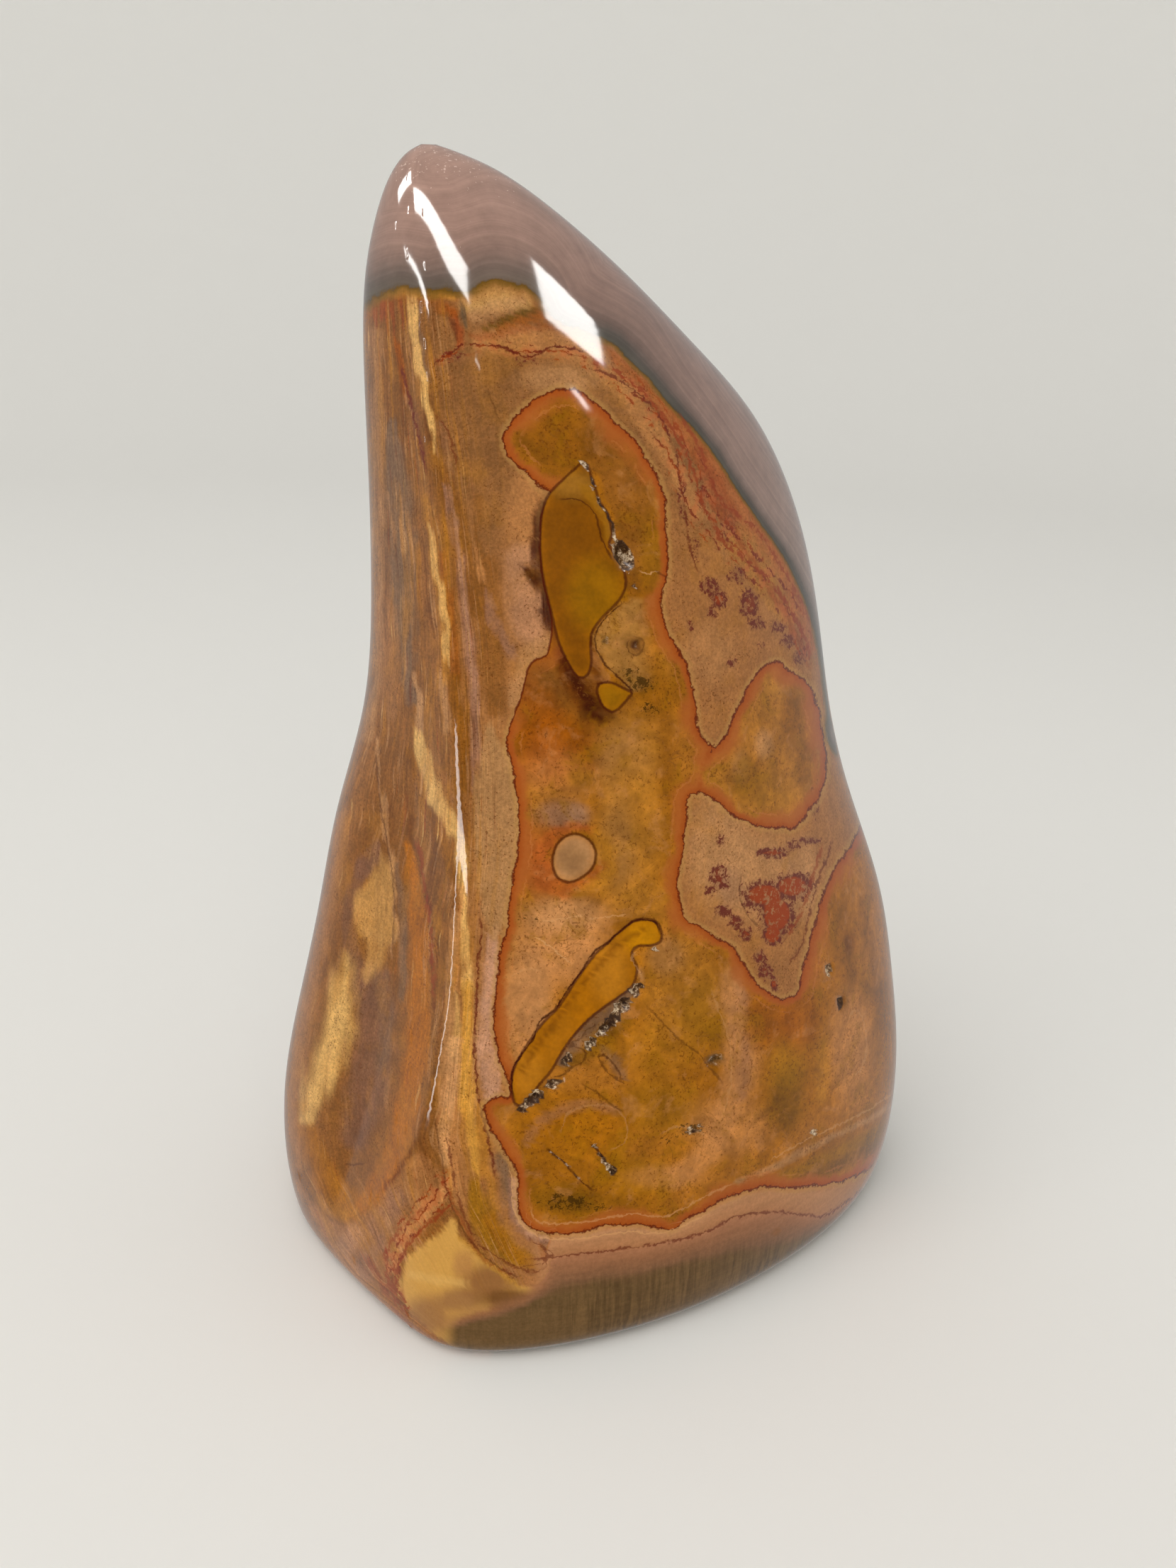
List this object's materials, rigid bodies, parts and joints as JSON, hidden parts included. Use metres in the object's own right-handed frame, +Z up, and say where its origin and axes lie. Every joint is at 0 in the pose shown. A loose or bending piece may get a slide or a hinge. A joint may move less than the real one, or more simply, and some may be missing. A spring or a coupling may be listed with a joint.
{
  "type": "polychrome jasper freeform",
  "caption": "Polished freeform of polychrome jasper, a leaning flame-shaped stone that stands on its own flat foot as a display piece.",
  "frame": {"origin": "middle of the stone's box, on the surface that its flat foot stands on", "axes": "+Z up along the stone's height, +Y away from the broad polished face, +X to the right as that face is seen, so the tip leans towards -X"},
  "size_m": [0.1049, 0.0818, 0.1648],
  "materials": {
    "polished_jasper": "polished"
  },
  "bodies": {
    "root": {"jasper_freeform": "polished_jasper"}
  },
  "joints": []
}
